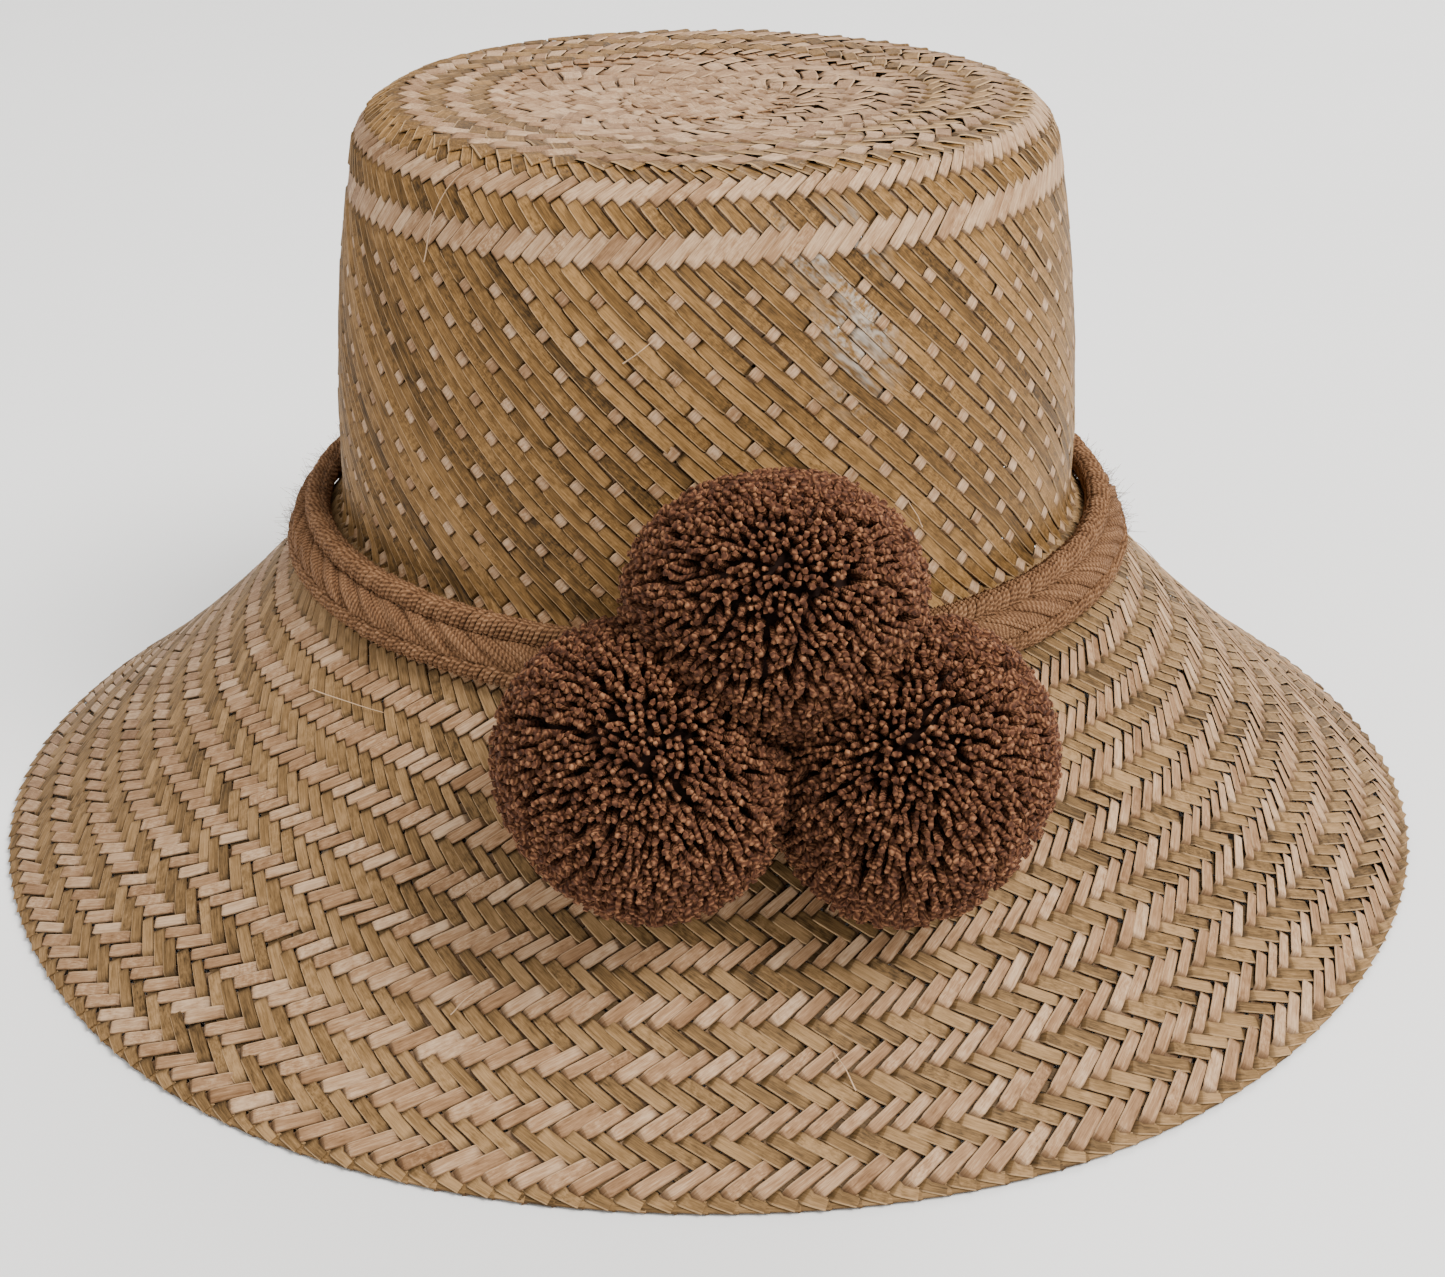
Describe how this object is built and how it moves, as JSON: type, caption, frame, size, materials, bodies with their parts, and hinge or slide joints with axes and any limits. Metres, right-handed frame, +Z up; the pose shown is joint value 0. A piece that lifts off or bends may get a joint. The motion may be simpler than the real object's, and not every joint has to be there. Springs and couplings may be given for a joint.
{
  "type": "woven straw hat",
  "caption": "Woven straw sun hat with a round flat-topped crown and wide sloping brim, a plaited yarn band and yarn pompoms at the front.",
  "frame": {"origin": "centre of the brim's rim, in the plane that the hat rests on", "axes": "+Z up through the crown, -Y to the front, where the pompoms are, +X to the hat's right side as seen from the front"},
  "size_m": [0.3616, 0.3584, 0.1794],
  "materials": {
    "straw_brim": "split palm straw in pale and olive brown, woven in herringbone rings, satin",
    "straw_crown": "split palm straw, olive brown with small pale crossings, satin",
    "band_yarn": "tan brown yarn plait, fuzzy and matt",
    "pompom_yarn": "dark reddish brown twisted yarn, clipped, matt"
  },
  "bodies": {
    "root": {"brim": "straw_brim", "crown": "straw_crown", "hat_band": "band_yarn", "pompom_top": "pompom_yarn", "pompom_left": "pompom_yarn", "pompom_right": "pompom_yarn"}
  },
  "joints": []
}
